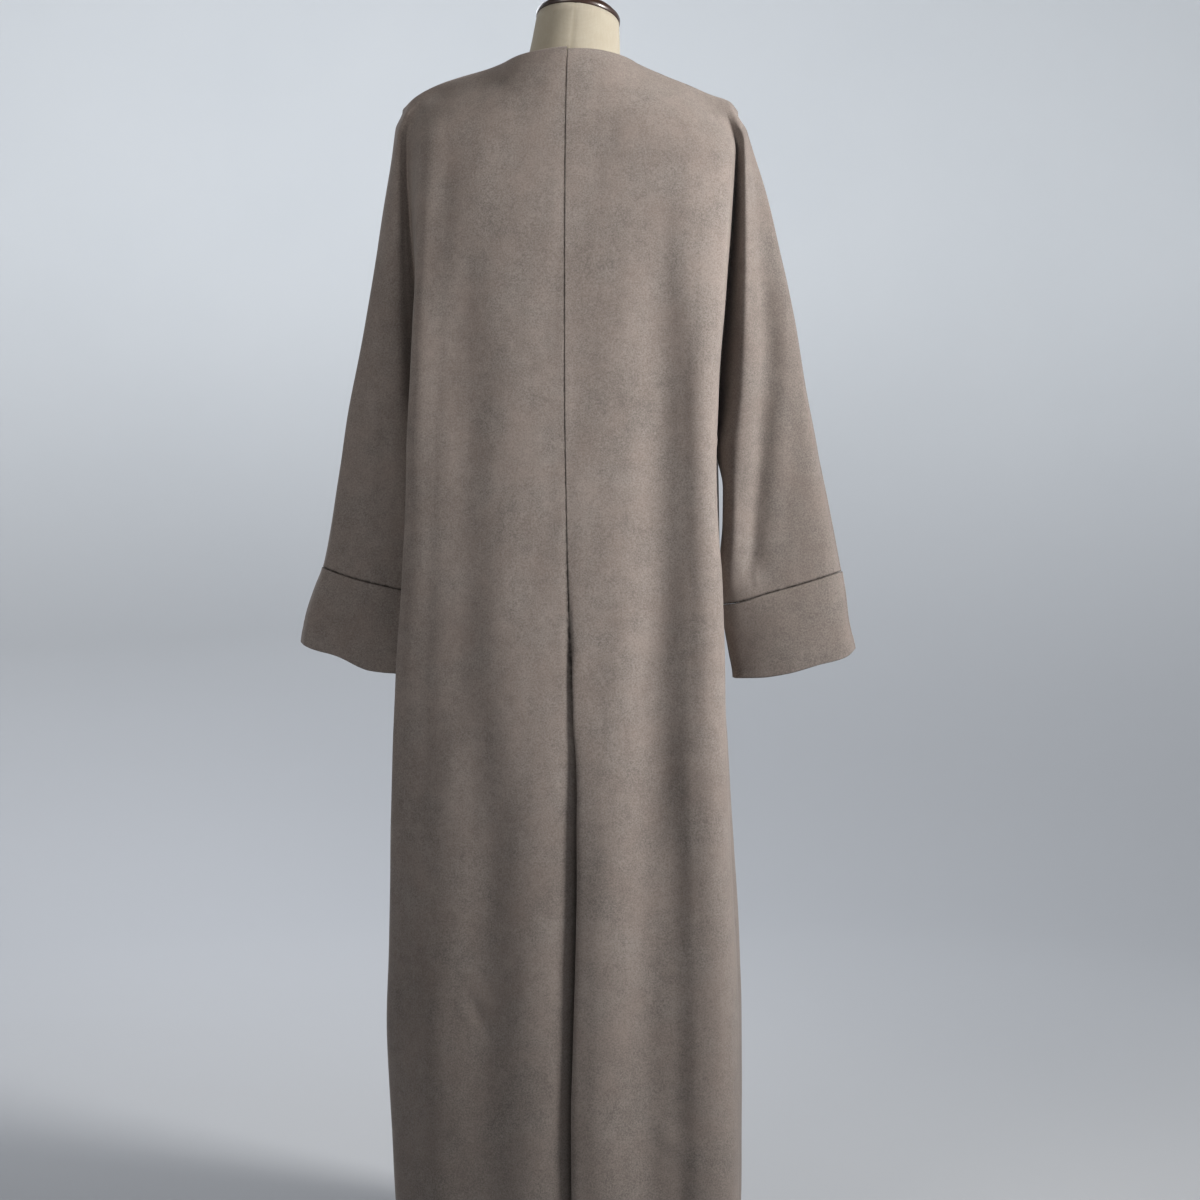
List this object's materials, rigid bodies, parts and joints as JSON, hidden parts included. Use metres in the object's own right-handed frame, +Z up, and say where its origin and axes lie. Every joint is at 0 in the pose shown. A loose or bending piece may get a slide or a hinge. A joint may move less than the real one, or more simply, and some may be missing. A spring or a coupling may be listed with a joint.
{
  "type": "abaya cloak on a dress form",
  "caption": "Full-length open batwing cloak with wide turned cuffs, hanging on a limbless linen dress form with a round stand.",
  "frame": {"origin": "centre of the stand's flat underside", "axes": "+Z up; the wearer's front faces -Y; +X is the wearer's left"},
  "size_m": [0.6986, 0.3032, 1.59],
  "materials": {
    "suede": "brushed taupe faux suede",
    "linen": "plain-woven cream linen",
    "cap": "dark brown semi-gloss lacquer",
    "stand": "satin dark grey"
  },
  "bodies": {
    "root": {"back_left": "suede", "back_right": "suede", "front_left": "suede", "front_right": "suede", "cuff_left": "suede", "cuff_right": "suede", "form_body": "linen", "neck_cap": "cap", "stand_pole": "stand", "stand_base": "stand"}
  },
  "joints": []
}
